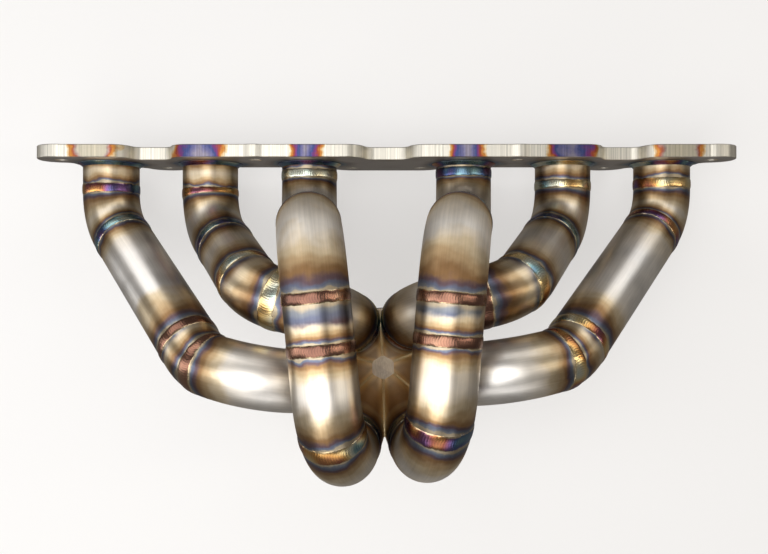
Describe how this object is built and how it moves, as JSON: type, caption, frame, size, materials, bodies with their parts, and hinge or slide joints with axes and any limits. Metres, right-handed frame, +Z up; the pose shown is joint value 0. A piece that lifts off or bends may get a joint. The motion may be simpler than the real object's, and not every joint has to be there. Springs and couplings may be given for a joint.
{
  "type": "exhaust manifold",
  "caption": "Tubular exhaust manifold: bent and welded pipes run from a scalloped head flange into a merge collector with a V-band outlet.",
  "frame": {"origin": "middle of the head flange's sealing face, at the height of the port centres", "axes": "+X along the cylinder head, +Y into the head, +Z up and away from the outlet"},
  "size_m": [0.594, 0.2664, 0.2432],
  "materials": {
    "flange_steel": "machined edges, satin faces, heat tint beside the ports",
    "runner_pipe": "satin stainless with bronze and blue heat tint",
    "collector_steel": "satin stainless, bronze heat tint",
    "weld_bead": "rippled weld metal, copper, gold and blue",
    "cap_steel": "bright brushed"
  },
  "bodies": {
    "root": {"collector_base_ring": "collector_steel", "collector_leg_1": "collector_steel", "collector_leg_2": "collector_steel", "collector_leg_3": "collector_steel", "collector_leg_4": "collector_steel", "collector_leg_5": "collector_steel", "collector_leg_6": "collector_steel", "collector_seam_welds": "weld_bead", "flange_welds": "weld_bead", "head_flange": "flange_steel", "leg_welds": "weld_bead", "merge_cap": "cap_steel", "outlet_cone": "collector_steel", "outlet_welds": "weld_bead", "runner_1_butt_welds": "weld_bead", "runner_1_end_elbow": "runner_pipe", "runner_1_flange_elbow": "runner_pipe", "runner_1_long_tube": "runner_pipe", "runner_1_pie_cut": "runner_pipe", "runner_1_stub": "runner_pipe", "runner_2_butt_welds": "weld_bead", "runner_2_end_elbow": "runner_pipe", "runner_2_flange_elbow": "runner_pipe", "runner_2_short_tube": "runner_pipe", "runner_2_side_elbow": "runner_pipe", "runner_2_stub": "runner_pipe", "runner_3_band": "runner_pipe", "runner_3_butt_welds": "weld_bead", "runner_3_end_elbow": "runner_pipe", "runner_3_front_tube": "runner_pipe", "runner_3_lower_elbow": "runner_pipe", "runner_3_riser": "runner_pipe", "runner_3_stub": "runner_pipe", "runner_3_upper_elbow": "runner_pipe", "runner_4_band": "runner_pipe", "runner_4_butt_welds": "weld_bead", "runner_4_end_elbow": "runner_pipe", "runner_4_front_tube": "runner_pipe", "runner_4_lower_elbow": "runner_pipe", "runner_4_riser": "runner_pipe", "runner_4_stub": "runner_pipe", "runner_4_upper_elbow": "runner_pipe", "runner_5_butt_welds": "weld_bead", "runner_5_end_elbow": "runner_pipe", "runner_5_flange_elbow": "runner_pipe", "runner_5_short_tube": "runner_pipe", "runner_5_side_elbow": "runner_pipe", "runner_5_stub": "runner_pipe", "runner_6_butt_welds": "weld_bead", "runner_6_end_elbow": "runner_pipe", "runner_6_flange_elbow": "runner_pipe", "runner_6_long_tube": "runner_pipe", "runner_6_pie_cut": "runner_pipe", "runner_6_stub": "runner_pipe", "vband_flange": "flange_steel"}
  },
  "joints": []
}
